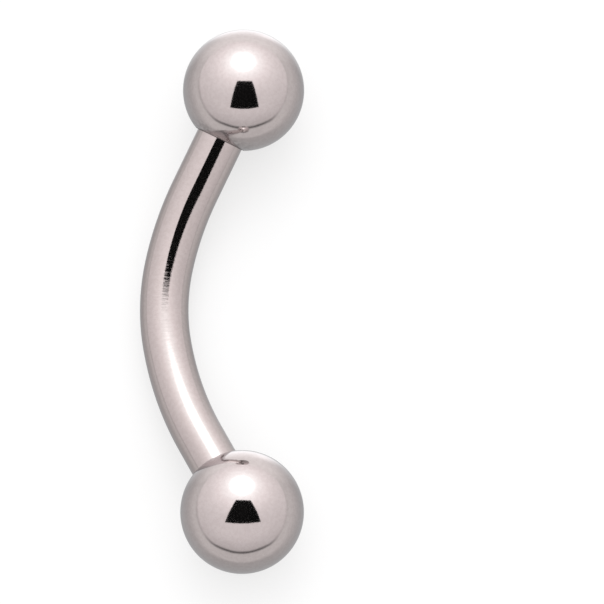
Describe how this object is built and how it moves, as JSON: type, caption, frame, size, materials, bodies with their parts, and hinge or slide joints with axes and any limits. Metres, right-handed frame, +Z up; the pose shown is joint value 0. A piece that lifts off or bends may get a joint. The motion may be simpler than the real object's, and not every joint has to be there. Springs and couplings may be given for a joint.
{
  "type": "curved eyebrow barbell",
  "caption": "Curved barbell for an eyebrow piercing: a bent round bar with a threaded post and a screw-on ball at each end, lying as it rests by itself.",
  "frame": {"origin": "on the surface that the barbell rests on, at the centre of its box seen from above: midway between the balls along Y", "axes": "+Z up from the surface, +Y along the line through the two balls, towards the upper ball, -X the way that the bow points"},
  "size_m": [0.004, 0.0136, 0.003],
  "materials": {
    "polished_bar": "polished titanium with fine polishing marks round the bar",
    "polished_ball": "mirror-polished titanium"
  },
  "bodies": {
    "bar": {"bar": "polished_bar"},
    "upper_ball": {"upper_ball": "polished_ball"},
    "lower_ball": {"lower_ball": "polished_ball"}
  },
  "joints": [
    {"name": "upper_unscrew", "type": "slide", "parent": "bar", "child": "upper_ball", "axis": [0.4355, 0.8775, 0.2006], "range_m": [0, 0.0025]},
    {"name": "lower_unscrew", "type": "slide", "parent": "bar", "child": "lower_ball", "axis": [0.4671, -0.8576, 0.2151], "range_m": [0, 0.0025]}
  ]
}
